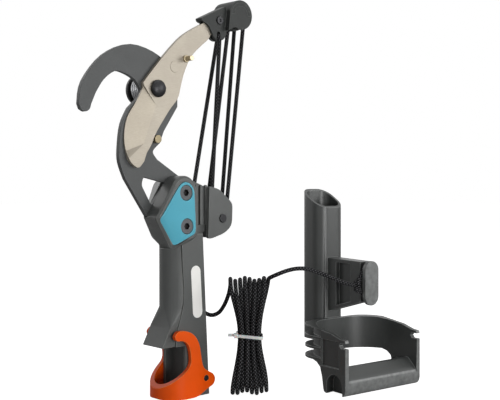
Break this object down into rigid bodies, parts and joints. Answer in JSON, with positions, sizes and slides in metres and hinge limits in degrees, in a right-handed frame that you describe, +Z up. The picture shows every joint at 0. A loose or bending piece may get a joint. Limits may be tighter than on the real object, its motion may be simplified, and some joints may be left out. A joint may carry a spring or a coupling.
{
  "type": "pole pruner head with pull handle",
  "caption": "Rope-operated bypass pruning head for a pole, with hook, swinging blade, rope tackle, lock lever, tied cord hank and moulded pull handle.",
  "frame": {"origin": "on the floor that the set stands on, on the axis of the pole socket, where the pole enters the head", "axes": "+X to the side that the pulleys are on, +Y to the rear of the head, +Z up along the pole socket"},
  "size_m": [0.3392, 0.1687, 0.4023],
  "materials": {
    "housing_nylon": "satin dark grey glass-filled nylon",
    "cover_plastic": "satin turquoise plastic",
    "dark_steel": "blackened steel",
    "coated_steel": "grey non-stick coating on steel plate",
    "brass": "yellow chromated pin",
    "black_plastic": "satin black acetal",
    "spring_wire": "bright spring wire",
    "blade_steel": "ground blade steel with a warm coating",
    "lever_plastic": "orange plastic",
    "cord": "black braided polyester cord",
    "tie_nylon": "milky white nylon",
    "handle_plastic": "satin dark grey plastic"
  },
  "bodies": {
    "head": {"housing": "housing_nylon", "cover_plate": "cover_plastic", "clamp_screw_top": "dark_steel", "clamp_screw_low": "dark_steel", "clamp_nut_top": "dark_steel", "clamp_nut_low": "dark_steel", "hook_plate": "coated_steel", "stop_pin": "brass", "pivot_bolt": "dark_steel", "spring_spool": "black_plastic", "pivot_nut": "dark_steel", "return_spring": "spring_wire", "lower_pulley_pin": "dark_steel", "lever_pin": "dark_steel", "tackle_cord": "cord", "lead_cord": "cord", "cord_hank": "cord", "cable_tie": "tie_nylon", "handle_cord": "cord", "cleat_knot": "cord", "pull_handle": "handle_plastic"},
    "blade_arm": {"blade": "blade_steel", "arm_block": "housing_nylon", "block_screw": "dark_steel", "block_nut": "dark_steel", "upper_pulley_pin": "dark_steel", "guide_pin": "brass", "anchor_knot": "cord"},
    "upper_sheave_front": {"upper_pulley_front": "black_plastic"},
    "upper_sheave_rear": {"upper_pulley_rear": "black_plastic"},
    "lower_sheave_front": {"lower_pulley_front": "black_plastic"},
    "lower_sheave_rear": {"lower_pulley_rear": "black_plastic"},
    "lever": {"lock_lever": "lever_plastic"}
  },
  "joints": [
    {"name": "blade_hinge", "type": "hinge", "parent": "head", "child": "blade_arm", "pos_m": [-0.029, 0, 0.304], "axis": [0, 1, 0], "range_deg": [0, 72], "stiffness_Nm_per_rad": 0.15, "springref_deg": -68.75, "deforming": ["tackle_cord", "return_spring"]},
    {"name": "lever_hinge", "type": "hinge", "parent": "head", "child": "lever", "pos_m": [0.019, 0, 0.018], "axis": [0, -1, 0], "range_deg": [0, 60]},
    {"name": "upper_front_spin", "type": "hinge", "parent": "blade_arm", "child": "upper_sheave_front", "pos_m": [0.073, -0.009, 0.387], "axis": [0, 1, 0], "continuous": true},
    {"name": "upper_rear_spin", "type": "hinge", "parent": "blade_arm", "child": "upper_sheave_rear", "pos_m": [0.073, 0.005, 0.387], "axis": [0, 1, 0], "continuous": true},
    {"name": "lower_front_spin", "type": "hinge", "parent": "head", "child": "lower_sheave_front", "pos_m": [0.045, -0.011, 0.176], "axis": [0, 1, 0], "continuous": true},
    {"name": "lower_rear_spin", "type": "hinge", "parent": "head", "child": "lower_sheave_rear", "pos_m": [0.045, -0.0035, 0.176], "axis": [0, 1, 0], "continuous": true}
  ]
}
